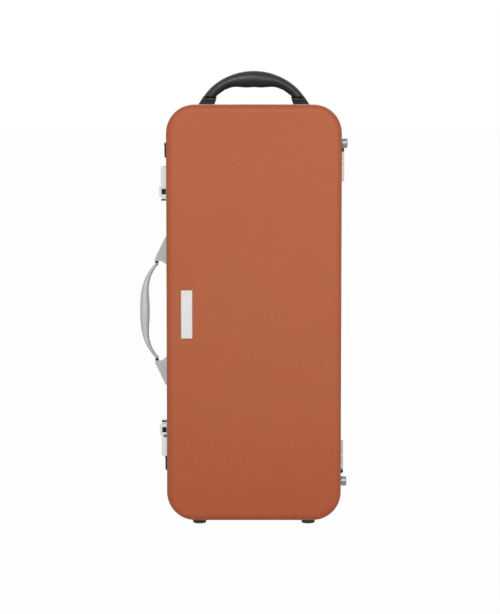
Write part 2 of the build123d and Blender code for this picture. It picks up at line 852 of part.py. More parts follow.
with BuildPart() as slide_block:
    with BuildSketch(left_section(mid_z + block_start + block_length)):
        with Locations((slide_foot, slide_depth)):
            Rectangle(block_height, slide_width, align=(Align.MIN, Align.CENTER))
    extrude(amount=block_length)
    cut_rail_and_spring()
keep_pair(slide_block, "slide_block")

spring_start = latch_start + latch_end_wall
spring_length = slide_start + spring_seat - spring_start
spring_base = Plane(
    origin=(-side_x - spring_axis, seam_y + slide_depth, mid_z + spring_start + spring_wire / 2)
)
coil_radius = spring_radius - spring_wire / 2
coil_height = spring_length - spring_wire
with BuildPart() as slide_spring:
    with BuildLine(spring_base):
        coil = Helix(pitch=coil_height / spring_turns, height=coil_height, radius=coil_radius)
    with BuildSketch(Plane(origin=coil @ 0, z_dir=coil % 0)):
        Circle(spring_wire / 2)
    sweep(path=coil)
keep_pair(slide_spring, "slide_spring")

# Strap rings, which hang from their mounts
bar_height = mount_thickness + fit_gap + ring_wire / 2
for height, bar_z in zip(("upper", "lower"), ring_bar_places):
    bar_plane = left_place(ring_depth, bar_z).offset(bar_height)
    half_width = (ring_width - ring_wire) / 2
    drop = ring_height - ring_wire / 2
    with BuildPart() as strap_ring:
        with BuildLine(bar_plane):
            ring_path = FilletPolyline(
                (0, half_width),
                (-drop, half_width),
                (-drop, -half_width),
                (0, -half_width),
                radius=[
                    ring_upper_corner,
                    ring_lower_corner,
                    ring_lower_corner,
                    ring_upper_corner,
                ],
                close=True,
            )
        with BuildSketch(Plane(origin=ring_path @ 0, z_dir=ring_path % 0)):
            Circle(ring_wire / 2)
        sweep(path=ring_path)
    keep(strap_ring, f"strap_ring_{height}")

    barrel_bore = ring_wire / 2 + bore_gap
    with BuildPart() as ring_mount:
        with BuildSketch(left_place(ring_depth, bar_z)):
            with Locations((mount_lead, 0)):
                Rectangle(mount_height, mount_width, align=(Align.MAX, Align.CENTER))
        extrude(amount=mount_thickness)
        barrel_middle = (-side_x, seam_y + ring_depth, bar_z)
        with BuildSketch(Plane(origin=barrel_middle, x_dir=(0, 0, 1), z_dir=(0, -1, 0))):
            with Locations((0, bar_height)):
                Circle(barrel_bore + mount_barrel_wall)
            Rectangle(
                2 * (barrel_bore + mount_barrel_wall), bar_height, align=(Align.CENTER, Align.MIN)
            )
            with Locations((0, bar_height)):
                Circle(barrel_bore, mode=Mode.SUBTRACT)
        extrude(amount=mount_barrel_length / 2, both=True)
        with Locations(*raised(mount_rivet_places, mount_thickness)):
            Hole(radius=rivet_radius + bore_gap, depth=mount_thickness + overrun)
    keep(ring_mount, f"ring_mount_{height}")

# Top handle brackets, each two ears round the grip's tongue
top_tongue_outer = (top_seam_outer + top_seam_inner + top_tongue) / 2
top_slot = top_tongue + 2 * fit_gap
slot_middle = top_tongue_outer - top_tongue / 2
ear_plane = Plane(origin=(0, top_handle_y, top_z), x_dir=(0, 1, 0), z_dir=(1, 0, 0))
bracket_top = top_axis_height + top_ear_radius
with BuildPart() as top_bracket:
    with BuildSketch(top_profile(top_handle_y)):
        Polygon(
            (top_bracket_inner, 0),
            (top_bracket_outer, 0),
            (top_seam_outer, bracket_top),
            (top_seam_inner, bracket_top),
            align=None,
        )
    extrude(amount=top_bracket_width / 2, both=True)
    with BuildSketch(ear_plane):
        with BuildLine():
            ear_round = CenterArc((0, top_axis_height), top_ear_radius, 0, 180)
            Polyline(
                ear_round @ 0,
                (top_bracket_width / 2, top_bracket_edge),
                (top_bracket_width / 2, 0),
                (-top_bracket_width / 2, 0),
                (-top_bracket_width / 2, top_bracket_edge),
                ear_round @ 1,
            )
        make_face()
    extrude(amount=top_bracket_outer, mode=Mode.INTERSECT)
    rim_edges = [
        edge
        for slope in (top_bracket.faces().sort_by(Axis.X)[index] for index in (0, -1))
        for edge in slope.edges()
        if edge.center().Z > top_z + top_bracket_edge / 2
    ]
    fillet(rim_edges, radius=top_bracket_rounding)
    with BuildSketch(ear_plane.offset(slot_middle - top_slot / 2)):
        with Locations((0, top_axis_height)):
            Circle(top_tongue_radius + fit_gap)
            Rectangle(top_bracket_width, bracket_top, align=(Align.CENTER, Align.MIN))
    extrude(amount=top_slot, mode=Mode.SUBTRACT)
    with BuildSketch(ear_plane.offset(top_bracket_inner - overrun)):
        with Locations((0, top_axis_height)):
            Circle(top_pin_radius + bore_gap)
    extrude(amount=top_bracket_outer, mode=Mode.SUBTRACT)
    with Locations(*raised(top_screw_places, top_screw_grip)):
        Hole(radius=screw_radius + bore_gap, depth=top_screw_grip + overrun)
keep(top_bracket, "top_bracket_right")
with BuildPart() as top_bracket_left:
    mirror(top_bracket.part, about=Plane.YZ)
keep(top_bracket_left, "top_bracket_left")

with BuildPart() as top_handle_pins:
    for end in (-1, 1):
        with BuildSketch(ear_plane.offset(end * (top_seam_inner + top_pin_inset))):
            with Locations((0, top_axis_height)):
                Circle(top_pin_radius)
        extrude(amount=end * (top_seam_outer - top_seam_inner))
keep(top_handle_pins, "top_handle_pins")


# Screws that hold the handle brackets, let into the wall from inside
def make_flush_screws(places, grip):
    """Countersunk screws, their heads flush with the wall's inner face."""
    with BuildPart() as screw:
        Cylinder(screw_radius, wall + grip, align=(Align.CENTER, Align.CENTER, Align.MIN))
        with Locations((0, 0, screw_head_height / 2)):
            Cone(screw_head_radius, screw_radius, screw_head_height)
        with BuildSketch(Plane.XY):
            RegularPolygon(screw_radius, side_count=6)
        extrude(amount=screw_head_height * socket_depth_share, mode=Mode.SUBTRACT)
    with BuildPart() as screws:
        with Locations(*raised(places, -wall)):
            add(screw.part)
    return screws


keep(make_flush_screws(top_screw_places, top_screw_grip), "top_bracket_screws")

# Top grip: an arched, upholstered body with a tongue at each end
arc_centre = top_grip_height - top_grip_arc_radius
top_grip_reach = top_grip_reach_share * (top_seam_inner + top_seam_outer) / 2
top_grip_angle = degrees(asin(top_grip_reach / top_grip_arc_radius))
shoulder_height = bracket_top + fit_gap


def grip_station(angle, thickness, depth):
    """An oval section of the top grip, square to its arc, at an angle from the middle."""
    middle_radius = top_grip_arc_radius - thickness / 2
    ray = Vector(0, 0, 1).rotate(Axis.Y, angle)
    centre = Vector(0, top_handle_y, top_z + arc_centre) + ray * middle_radius
    across = Vector(1, 0, 0).rotate(Axis.Y, angle)
    with BuildSketch(Plane(origin=centre, x_dir=ray, z_dir=across)) as station:
        Ellipse(thickness / 2, depth / 2)
    return station.sketch


def shoulder_station(end):
    """The level oval section that ends the top grip, a little below its shoulder."""
    centre = (
        end * (top_seam_inner + top_seam_outer) / 2,
        top_handle_y,
        top_z + shoulder_height - top_grip_trim,
    )
    with BuildSketch(Plane(origin=centre, x_dir=(end, 0, 0), z_dir=(0, 0, -end))) as station:
        Ellipse((top_seam_outer - top_seam_inner) / 2, top_grip_end_depth / 2)
    return station.sketch


with BuildPart() as top_grip:
    stations = []
    for end in (-1, 1):
        half = [
            grip_station(
                end * angle_share * top_grip_angle,
                thickness_share * top_grip_middle_thickness,
                depth_share * top_grip_depth,
            )
            for angle_share, thickness_share, depth_share in zip(
                top_grip_angle_shares, top_grip_thickness_shares, top_grip_depth_shares
            )
        ]
        half.append(shoulder_station(end))
        stations += half if end > 0 else half[:0:-1]
    loft([station.face() for station in stations])
    split(bisect_by=Plane.XY.offset(top_z + shoulder_height), keep=Keep.TOP)
    for end in (-1, 1):
        with BuildSketch(ear_plane.offset(end * (slot_middle - top_tongue / 2))):
            with Locations((0, top_axis_height)):
                Circle(top_tongue_radius)
                Rectangle(
                    top_neck_width,
                    top_ear_radius + 2 * fit_gap,
                    align=(Align.CENTER, Align.MIN),
                )
        extrude(amount=end * top_tongue)
    with BuildSketch(ear_plane.offset(-top_bracket_outer)):
        with Locations((0, top_axis_height)):
            Circle(top_pin_radius + bore_gap)
    extrude(amount=2 * top_bracket_outer, mode=Mode.SUBTRACT)
keep(top_grip, "top_grip")

# Side handle brackets: wedges whose tips hold the grip's pins
side_handle_y = seam_y + side_handle_depth
bracket_crest = side_axis_height + side_boss_radius
with BuildPart() as side_bracket:
    with BuildSketch(left_profile(side_handle_y)):
        Polygon(
            (side_bracket_inner, 0),
            (side_bracket_outer, 0),
            (side_bracket_outer, side_bracket_toe),
            (side_bracket_crest, bracket_crest),
            (side_bracket_face, bracket_crest),
            (side_bracket_face, side_bracket_throat),
            align=None,
        )
    extrude(amount=side_bracket_width / 2, both=True)
    with BuildSketch(left_place(side_handle_depth, mid_z)):
        Polygon(
            (side_bracket_inner - overrun, side_bracket_tip_width / 2),
            (side_bracket_face, side_bracket_tip_width / 2),
            (side_bracket_outer, side_bracket_width / 2),
            (side_bracket_outer, -side_bracket_width / 2),
            (side_bracket_face, -side_bracket_tip_width / 2),
            (side_bracket_inner - overrun, -side_bracket_tip_width / 2),
            align=None,
        )
    extrude(amount=bracket_crest, mode=Mode.INTERSECT)
    raised_edges = side_bracket.edges().filter_by_position(
        Axis.X, -side_x - bracket_crest - overrun, -side_x - side_bracket_toe / 2
    )
    fillet(raised_edges, radius=side_bracket_rounding)
    with BuildSketch(left_section(mid_z + side_bracket_face + side_pin_depth)):
        with Locations((side_axis_height, side_handle_depth)):
            Circle(side_pin_radius + bore_gap)
    extrude(amount=side_pin_depth + overrun, mode=Mode.SUBTRACT)
    with Locations(*raised(side_screw_places[1:], side_screw_seat + side_screw_head_height)):
        CounterBoreHole(
            screw_radius + bore_gap,
            side_screw_head_radius + bore_gap,
            side_screw_head_height,
            depth=side_screw_seat + side_screw_head_height + overrun,
        )
    with Locations(*raised(side_stud_places[1:], side_stud_grip)):
        Hole(radius=screw_radius + bore_gap, depth=side_stud_grip + overrun)
keep_pair(side_bracket, "side_bracket")

side_screws = make_screws(
    raised(side_screw_places, side_screw_seat),
    side_screw_head_radius,
    side_screw_head_height,
    screw_radius,
    side_screw_seat + wall,
)
keep(side_screws, "side_bracket_screws")
keep(make_flush_screws(side_stud_places, side_stud_grip), "side_bracket_studs")

with BuildPart() as side_handle_pins:
    pin_end = side_bracket_face + side_pin_depth
    pin_length = side_pin_depth + side_bush_thickness + fit_gap + side_pin_reach
    for pin_top in (mid_z + pin_end, mid_z - pin_end + pin_length):
        with BuildSketch(left_section(pin_top)):
            with Locations((side_axis_height, side_handle_depth)):
                Circle(side_pin_radius)
        extrude(amount=pin_length)
keep(side_handle_pins, "side_handle_pins")

with BuildPart() as side_bushes:
    for bush_top in (mid_z + side_bracket_face, mid_z - side_bracket_face + side_bush_thickness):
        with BuildSketch(left_section(bush_top)):
            with Locations((side_axis_height, side_handle_depth)):
                Circle(side_boss_radius)
                Circle(side_pin_radius, mode=Mode.SUBTRACT)
        extrude(amount=side_bush_thickness)
keep(side_bushes, "side_bushes")

# Side grip: a curved bow between two round bosses
grip_end = side_bracket_face - side_bush_thickness - fit_gap
bow_end = grip_end - side_boss_length / 2


def bow_station(share, thickness, depth):
    """An oval section of the side grip, at a share of the way from its middle to an end."""
    outer = side_grip_height - side_grip_drop * abs(share) ** side_grip_curve_power
    with BuildSketch(left_section(mid_z + share * bow_end)) as station:
        with Locations((outer - thickness / 2, side_handle_depth)):
            Ellipse(thickness / 2, depth / 2)
    return station.sketch


with BuildPart() as side_grip:
    bow_stations = []
    for end in (-1, 1):
        half = [
            bow_station(
                end * place_share,
                thickness_share * side_grip_thickness,
                depth_share * side_grip_depth,
            )
            for place_share, thickness_share, depth_share in zip(
                side_grip_place_shares, side_grip_thickness_shares, side_grip_depth_shares
            )
        ]
        bow_stations += half if end > 0 else half[:0:-1]
    loft([station.face() for station in bow_stations])
    for end in (-1, 1):
        boss_top = mid_z + end * grip_end + (side_boss_length if end < 0 else 0)
        with BuildSketch(left_section(boss_top)):
            with Locations((side_axis_height, side_handle_depth)):
                Circle(side_boss_radius)
        extrude(amount=side_boss_length)
        boss_middle = mid_z + end * (grip_end - side_boss_length)
        with Locations((-side_x - side_axis_height, side_handle_y, boss_middle)):
            Sphere(side_boss_radius)
    split(bisect_by=Plane.XY.offset(mid_z + grip_end), keep=Keep.BOTTOM)
    split(bisect_by=Plane.XY.offset(mid_z - grip_end), keep=Keep.TOP)
    for bore_top in (mid_z + grip_end, mid_z - grip_end + side_pin_reach + fit_gap):
        with BuildSketch(left_section(bore_top)):
            with Locations((side_axis_height, side_handle_depth)):
                Circle(side_pin_radius + bore_gap)
        extrude(amount=side_pin_reach + fit_gap, mode=Mode.SUBTRACT)
keep(side_grip, "side_grip")
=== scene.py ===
import json
import math

import bpy
import bmesh
import numpy as np
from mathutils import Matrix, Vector


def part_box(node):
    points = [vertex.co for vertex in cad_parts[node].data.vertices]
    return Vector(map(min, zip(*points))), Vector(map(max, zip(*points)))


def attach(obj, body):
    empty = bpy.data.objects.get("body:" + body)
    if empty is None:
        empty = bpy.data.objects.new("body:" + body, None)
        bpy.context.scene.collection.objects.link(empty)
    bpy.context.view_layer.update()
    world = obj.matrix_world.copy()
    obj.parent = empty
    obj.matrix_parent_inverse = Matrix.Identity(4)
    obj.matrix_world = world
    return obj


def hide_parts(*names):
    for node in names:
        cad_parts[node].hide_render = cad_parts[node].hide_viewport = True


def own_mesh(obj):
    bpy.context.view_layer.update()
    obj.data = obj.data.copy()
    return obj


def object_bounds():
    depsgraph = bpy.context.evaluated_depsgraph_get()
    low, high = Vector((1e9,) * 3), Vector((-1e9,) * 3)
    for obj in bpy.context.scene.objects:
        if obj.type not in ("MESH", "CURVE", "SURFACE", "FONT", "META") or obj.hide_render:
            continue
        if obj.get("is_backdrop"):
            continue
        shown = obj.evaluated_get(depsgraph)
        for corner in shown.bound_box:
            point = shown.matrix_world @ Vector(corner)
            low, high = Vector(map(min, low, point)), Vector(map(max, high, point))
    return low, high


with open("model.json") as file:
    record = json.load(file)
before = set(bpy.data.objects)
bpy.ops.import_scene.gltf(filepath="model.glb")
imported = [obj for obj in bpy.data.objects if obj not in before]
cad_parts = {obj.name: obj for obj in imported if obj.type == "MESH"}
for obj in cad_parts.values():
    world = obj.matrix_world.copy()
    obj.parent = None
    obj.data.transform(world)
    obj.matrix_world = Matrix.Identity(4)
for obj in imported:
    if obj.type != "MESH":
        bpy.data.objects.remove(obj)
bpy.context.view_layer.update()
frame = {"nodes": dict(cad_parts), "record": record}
nodes = frame["nodes"]
scene = bpy.context.scene

# Camera, at the photograph's place: level with the case's top and pitched slightly down
camera_lens = 134.6
camera_place = (-0.0064, -3.785, 0.680)
camera_pitch = 4.936  # degrees below level
camera_data = bpy.data.cameras.new("camera")
camera_data.sensor_fit = "VERTICAL"
camera_data.sensor_height = 36.0
camera_data.lens = camera_lens
camera = bpy.data.objects.new("camera", camera_data)
scene.collection.objects.link(camera)
camera.location = camera_place
camera.rotation_euler = (math.radians(90 - camera_pitch), 0, 0)
scene.camera = camera
scene.view_settings.view_transform = "Standard"


# Node materials
def new_finish(name, **sockets):
    """A Principled material with constants set on its own sockets."""
    material = bpy.data.materials.new(name)
    material.use_nodes = True
    shader = material.node_tree.nodes["Principled BSDF"]
    for key, value in sockets.items():
        shader.inputs[key.replace("_", " ")].default_value = value
    return material, shader


def add_node(material, kind, inputs, **settings):
    """A node with its settings made and its inputs set or linked."""
    tree = material.node_tree
    made = tree.nodes.new(kind)
    for key, value in settings.items():
        setattr(made, key, value)
    for key, value in inputs.items():
        if isinstance(value, bpy.types.NodeSocket):
            tree.links.new(value, made.inputs[key])
        else:
            made.inputs[key].default_value = value
    return made


def place(material, stretch=(1, 1, 1)):
    """Object coordinates in metres, stretched for brushed or woven marks."""
    coordinates = add_node(material, "ShaderNodeTexCoord", {})
    mapping = add_node(
        material, "ShaderNodeMapping", {"Vector": coordinates.outputs["Object"], "Scale": stretch}
    )
    return mapping.outputs["Vector"]


def speckle(material, vector, scale, detail=2.0, roughness=0.5):
    """Noise between 0 and 1."""
    made = add_node(
        material,
        "ShaderNodeTexNoise",
        {"Vector": vector, "Scale": scale, "Detail": detail, "Roughness": roughness},
    )
    return made.outputs["Fac"]


def pebbles(material, vector, scale):
    """Rounded cells, as leather grain has."""
    made = add_node(
        material, "ShaderNodeTexVoronoi", {"Vector": vector, "Scale": scale}, feature="SMOOTH_F1"
    )
    return made.outputs["Distance"]


def spread(material, value, low, high, out_low, out_high):
    """A value moved from one range to another, and kept in it."""
    made = add_node(
        material,
        "ShaderNodeMapRange",
        {
            "Value": value,
            "From Min": low,
            "From Max": high,
            "To Min": out_low,
            "To Max": out_high,
        },
    )
    return made.outputs["Result"]


def blend_colours(material, factor, first, second):
    """A colour between two, which are colours or sockets."""
    made = add_node(
        material,
        "ShaderNodeMix",
        {0: factor, 6: first, 7: second},
        data_type="RGBA",
    )
    return made.outputs[2]


def arithmetic(material, operation, first, second):
    """A sum, product or the like of two values."""
    made = add_node(material, "ShaderNodeMath", {0: first, 1: second}, operation=operation)
    return made.outputs[0]


def layered(material, first, share, second):
    """Two heights added: the first by its share, the second by what is left."""
    return arithmetic(
        material, "ADD",
        arithmetic(material, "MULTIPLY", first, share),
        arithmetic(material, "MULTIPLY", second, 1 - share),
    )


def relief(material, shader, height, distance, strength):
    """Bump, in metres of height, on the shader's normal."""
    made = add_node(
        material, "ShaderNodeBump",
        {"Height": height, "Distance": distance, "Strength": strength},
    )
    material.node_tree.links.new(made.outputs["Normal"], shader.inputs["Normal"])


def object_axes(material):
    """Object coordinates in metres, one output for each axis."""
    coordinates = add_node(material, "ShaderNodeTexCoord", {})
    axes = add_node(
        material, "ShaderNodeSeparateXYZ", {"Vector": coordinates.outputs["Object"]}
    )
    return axes.outputs


def feed(material, shader, **sockets):
    """Links made values to the shader's sockets."""
    for key, value in sockets.items():
        material.node_tree.links.new(value, shader.inputs[key.replace("_", " ")])


def shade(colour, factor):
    """A colour, lighter or darker."""
    return (*[channel * factor for channel in colour], 1.0)


# The case's outline seen from the front, and how far in from it the covering is worn
case_middle_z = 0.347
case_half_width, case_half_height = 0.1425, 0.340
worn_edge = 0.003


def cover_finish():
    """Terracotta covering with a fine, matte, leather-like grain, and painted shade that darkens
    and reddens it towards the bottom.
    """
    colour = (0.436, 0.110, 0.0425)
    material, shader = new_finish("shell_cover", Specular_IOR_Level=0.3)
    vector = place(material)
    grain = pebbles(material, vector, 900)
    fine = speckle(material, vector, 2300)
    mottle = speckle(material, vector, 260, 4.0, 0.6)
    broad = speckle(material, vector, 7, 2.0)
    toned = blend_colours(material, mottle, shade(colour, 0.87), shade(colour, 1.13))
    tint = (colour[0] * 0.97, colour[1] * 0.9, colour[2] * 0.86, 1.0)
    patched = blend_colours(material, spread(material, broad, 0.4, 0.75, 0, 0.5), toned, tint)
    scuffs = arithmetic(
        material, "MULTIPLY",
        spread(material, speckle(material, vector, 34, 6.0, 0.7), 0.62, 0.72, 0, 1),
        edge_mask(material),
    )
    worn = blend_colours(material, scuffs, patched, shade(colour, 1.3))
    # Painted shade: the colour is multiplied darker and redder towards the bottom of the case,
    # standing in for the light falling off downwards
    axes = add_node(material, "ShaderNodeSeparateXYZ", {"Vector": vector})
    lower_shade_share = spread(material, axes.outputs["Z"], 0.30, 0.02, 0, 1)
    painted_lower_shade = add_node(
        material, "ShaderNodeMix",
        {0: lower_shade_share, 6: worn, 7: (0.96, 0.87, 0.82, 1.0)},
        data_type="RGBA", blend_type="MULTIPLY",
    ).outputs[2]
    feed(material, shader, Base_Color=painted_lower_shade,
         Roughness=spread(material, mottle, 0.3, 0.7, 0.48, 0.6))
    relief(material, shader, layered(material, grain, 0.75, fine), 0.00022, 0.6)
    return material


def edge_mask(material):
    """1 near the case's outline, 0 on its faces."""
    axes = object_axes(material)
    across = arithmetic(material, "ABSOLUTE", axes["X"], 0)
    up = arithmetic(
        material, "ABSOLUTE", arithmetic(material, "SUBTRACT", axes["Z"], case_middle_z), 0
    )
    sides = spread(material, across, case_half_width - worn_edge, case_half_width, 0, 1)
    ends = spread(material, up, case_half_height - worn_edge, case_half_height, 0, 1)
    return arithmetic(material, "MULTIPLY", arithmetic(material, "MAXIMUM", sides, ends), 0.35)


def metal_finish(name, colour, rough, stretch, brush=0.00001, scratches=0.02):
    """Bare metal: brushed along one way, with faint scratches and uneven gloss."""
    material, shader = new_finish(name, Metallic=1.0)
    lines = speckle(material, place(material, stretch), 1.0, 3.0, 0.7)
    cloud = speckle(material, place(material), 45, 4.0, 0.6)
    feed(
        material, shader,
        Base_Color=blend_colours(material, cloud, shade(colour, 0.9), shade(colour, 1.06)),
        Roughness=spread(material, lines, 0.3, 0.7, rough - scratches, rough + scratches),
    )
    relief(material, shader, lines, brush, 0.6)
    return material


def badge_finish():
    """The badge's brushed plate, with a darker, warmer border and a painted shadow: a thin dark
    line round its edge.
    """
    material = metal_finish("badge_metal", (0.665, 0.645, 0.635), 0.3, (60, 3000, 3500))
    shader = material.node_tree.nodes["Principled BSDF"]
    plate = shader.inputs["Base Color"].links[0].from_socket
    low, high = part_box("badge_plate")
    axes = object_axes(material)
    border_ends, border_colour = (-0.0016, -0.0012), (0.60, 0.50, 0.45, 1.0)
    # Painted shadow: a thin dark brown line along the plate's edge, where shade falls between the
    # badge and the cover
    shadow_line_ends, painted_shadow_colour = (-0.0005, -0.0003), (0.22, 0.15, 0.12, 1.0)
    distances = []
    for axis, index in (("X", 0), ("Z", 2)):
        middle = (low[index] + high[index]) / 2
        off = arithmetic(
            material, "ABSOLUTE",
            arithmetic(material, "SUBTRACT", axes[axis], middle), 0,
        )
        distances.append(
            arithmetic(material, "SUBTRACT", off, (high[index] - low[index]) / 2)
        )
    edge = arithmetic(material, "MAXIMUM", *distances)
    border = spread(material, edge, *border_ends, 0, 1)
    painted_shadow_line = spread(material, edge, *shadow_line_ends, 0, 1)
    bordered = blend_colours(material, border, plate, border_colour)
    feed(material, shader,
         Base_Color=blend_colours(material, painted_shadow_line, bordered, painted_shadow_colour))
    return material


def moulded_finish(name, colour, rough, grain_scale, depth, specular=0.5):
    """Plastic, rubber or paint with the fine grain of its mould."""
    material, shader = new_finish(name, Specular_IOR_Level=specular)
    vector = place(material)
    fine = speckle(material, vector, grain_scale, 2.0)
    cloud = speckle(material, vector, 60, 4.0, 0.6)
    feed(
        material, shader,
        Base_Color=blend_colours(material, cloud, shade(colour, 0.85), shade(colour, 1.2)),
        Roughness=spread(material, cloud, 0.3, 0.7, rough - 0.05, rough + 0.07),
    )
    relief(material, shader, fine, depth, 0.7)
    return material


def grip_finish():
    """Black leather of the top handle: pebbled and creased, a little uneven in tone."""
    colour = (0.012, 0.0118, 0.0118)
    material, shader = new_finish("grip_leather", Specular_IOR_Level=0.38)
    vector = place(material)
    grain = pebbles(material, vector, 1000)
    creases = speckle(material, vector, 260, 5.0, 0.65)
    cloud = speckle(material, vector, 30, 3.0)
    feed(
        material, shader,
        Base_Color=blend_colours(material, cloud, shade(colour, 0.8), shade(colour, 1.45)),
        Roughness=spread(material, creases, 0.3, 0.7, 0.30, 0.42),
    )
    relief(material, shader, layered(material, grain, 0.6, creases), 0.00018, 0.6)
    return material


def plush_finish(name, colour):
    """Short plush: a soft pile with a sheen and patches where the nap lies another way."""
    material, shader = new_finish(
        name, Roughness=0.9, Specular_IOR_Level=0.15, Sheen_Weight=0.6, Sheen_Roughness=0.4
    )
    vector = place(material)
    pile = speckle(material, vector, 2600, 3.0, 0.7)
    nap = speckle(material, vector, 16, 3.0, 0.6)
    tufts = speckle(material, vector, 420, 3.0, 0.6)
    base = blend_colours(material, nap, shade(colour, 0.7), shade(colour, 1.5))
    feed(
        material, shader,
        Base_Color=blend_colours(
            material, spread(material, tufts, 0.35, 0.7, 0, 0.6), base, shade(colour, 2.0)
        ),
    )
    relief(material, shader, layered(material, pile, 0.6, tufts), 0.0006, 0.7)
    return material


def thread_finish():
    """Waxed black thread with its twist."""
    colour = (0.03, 0.03, 0.03)
    material, shader = new_finish("thread", Roughness=0.55, Sheen_Weight=0.2)
    twist = add_node(
        material,
        "ShaderNodeTexWave",
        {"Vector": place(material), "Scale": 900.0, "Distortion": 1.5},
        bands_direction="DIAGONAL",
    ).outputs["Fac"]
    feed(material, shader,
         Base_Color=blend_colours(material, twist, shade(colour, 0.6), shade(colour, 1.8)))
    relief(material, shader, twist, 0.0001, 0.6)
    return material


finishes = {
    "shell_cover": cover_finish(),
    "rim_metal": metal_finish("rim_metal", (0.55, 0.55, 0.56), 0.34, (3000, 3000, 60)),
    "seal_rubber": moulded_finish("seal_rubber", (0.015, 0.015, 0.015), 0.65, 1500, 0.00005),
    "lining": plush_finish("lining", (0.030, 0.030, 0.035)),
    "badge_metal": badge_finish(),
    "foot_rubber": moulded_finish("foot_rubber", (0.018, 0.018, 0.019), 0.62, 1300, 0.00008),
    "spine_metal": metal_finish("spine_metal", (0.25, 0.25, 0.26), 0.3, (2500, 2500, 300)),
    "steel_fasteners": metal_finish("steel_fasteners", (0.55, 0.55, 0.57), 0.28, (900, 900, 900)),
    "hinge_metal": metal_finish("hinge_metal", (0.54, 0.49, 0.435), 0.45, (2500, 2500, 70)),
    "latch_chrome": metal_finish("latch_chrome", (0.72, 0.715, 0.70), 0.18, (900, 900, 80)),
    "black_plastic": moulded_finish(
        "black_plastic", (0.008, 0.008, 0.0085), 0.40, 1500, 0.00005, specular=0.25
    ),
    "black_fittings": moulded_finish(
        "black_fittings", (0.009, 0.009, 0.0095), 0.34, 700, 0.00004, specular=0.28
    ),
    "grip_leather": grip_finish(),
    "side_handle_grey": moulded_finish(
        "side_handle_grey", (0.58, 0.58, 0.585), 0.34, 900, 0.00003
    ),
}
thread = thread_finish()
for part in frame["record"]["subparts"]:
    mesh = nodes[part["node"]].data
    mesh.materials.clear()
    mesh.materials.append(finishes[part["material_slot"]])


# Padded pieces
mm = 0.001
cloth_frames, cloth_pressure, cloth_reach = 20, 4.0, 1.4 * mm
big_voxel, small_voxel = 5 * mm, 3.4 * mm


def keep_result(piece):
    """Puts what a piece's modifiers make in the place of its mesh."""
    settled = piece.evaluated_get(bpy.context.evaluated_depsgraph_get())
    made = bpy.data.meshes.new_from_object(settled)
    piece.modifiers.clear()
    piece.data = made


def points_of(mesh):
    """A mesh's points, one row each."""
    flat = np.empty(len(mesh.vertices) * 3)
    mesh.vertices.foreach_get("co", flat)
    return flat.reshape(-1, 3)


def normals_of(mesh):
    """The directions in which a mesh's points face."""
    flat = np.empty(len(mesh.vertices) * 3)
    mesh.vertices.foreach_get("normal", flat)
    return flat.reshape(-1, 3)


def set_points(mesh, points):
    """Puts a mesh's points in new places."""
    mesh.vertices.foreach_set("co", points.ravel())
    mesh.update()


def even_copy(node, voxel, inset):
    """A node's shape in small even faces, drawn in a little so that it has room to swell."""
    piece = bpy.data.objects.new(node + "_pad", nodes[node].data.copy())
    scene.collection.objects.link(piece)
    shape = bmesh.new()
    shape.from_mesh(piece.data)
    bmesh.ops.remove_doubles(shape, verts=shape.verts, dist=0.01 * mm)
    shape.to_mesh(piece.data)
    shape.free()
    remesh = piece.modifiers.new("remesh", "REMESH")
    remesh.mode = "VOXEL"
    remesh.voxel_size = voxel
    keep_result(piece)
    set_points(piece.data, points_of(piece.data) - inset * normals_of(piece.data))
    return piece


def inflate(pads, reach):
    """Cloth under pressure on all the pads at once; no point moves further than the reach."""
    starts = [points_of(pad.data) for pad in pads]
    for pad in pads:
        cloth = pad.modifiers.new("cloth", "CLOTH")
        cloth.settings.quality = 4
        cloth.settings.use_pressure = True
        cloth.settings.uniform_pressure_force = cloth_pressure
        cloth.settings.effector_weights.gravity = 0.0
        cloth.point_cache.frame_end = cloth_frames
    for number in range(1, cloth_frames + 1):
        scene.frame_set(number)
    for pad, start in zip(pads, starts):
        keep_result(pad)
        moved = points_of(pad.data) - start
        far = np.linalg.norm(moved, axis=1, keepdims=True)
        set_points(pad.data, start + moved * np.minimum(1, reach / np.maximum(far, reach / 100)))
    scene.frame_set(1)


def swell(distance, reach):
    """0 at a seam, rising to 1 at its reach."""
    return 1 - (1 - np.clip(distance / reach, 0, 1)) ** 2


def beside_box(points, node):
    """How far points are from a node, seen from the front."""
    low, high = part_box(node)
    across = np.maximum(np.maximum(low[0] - points[:, 0], points[:, 0] - high[0]), 0)
    up = np.maximum(np.maximum(low[2] - points[:, 2], points[:, 2] - high[2]), 0)
    return np.hypot(across, up)


def inside_outline(points, node, radius, inset=(0, 0)):
    """How far points are inside a node's round-cornered outline, seen from the front."""
    low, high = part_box(node)
    half_x = (high[0] - low[0]) / 2 - inset[0] - radius
    half_z = (high[2] - low[2]) / 2 - inset[1] - radius
    across = np.abs(points[:, 0] - (high[0] + low[0]) / 2) - half_x
    up = np.abs(points[:, 2] - (high[2] + low[2]) / 2) - half_z
    corner = np.hypot(np.maximum(across, 0), np.maximum(up, 0))
    return radius - corner - np.minimum(np.maximum(across, up), 0)


def kept_inside(points, node, open_side, room):
    """Points held in a node's box, with some room on its open side along Y."""
    low, high = (np.array(corner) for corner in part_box(node))
    if open_side < 0:
        low[1] -= room
    else:
        high[1] += room
    return np.clip(points, low, high)


cushion_radius = 42 * mm
well_inset = (6.2 * mm, 11.7 * mm)
dividers = [
    "boot_divider", "long_joint_divider", "bell_divider",
    "boot_cross_divider", "wing_cross_divider", "bell_cross_divider",
]
channel_shares = (0.17, 0.34, 0.5, 0.66, 0.83)
lid_low, lid_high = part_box("lid_cushion")
channel_heights = [lid_low[2] + share * (lid_high[2] - lid_low[2]) for share in channel_shares]


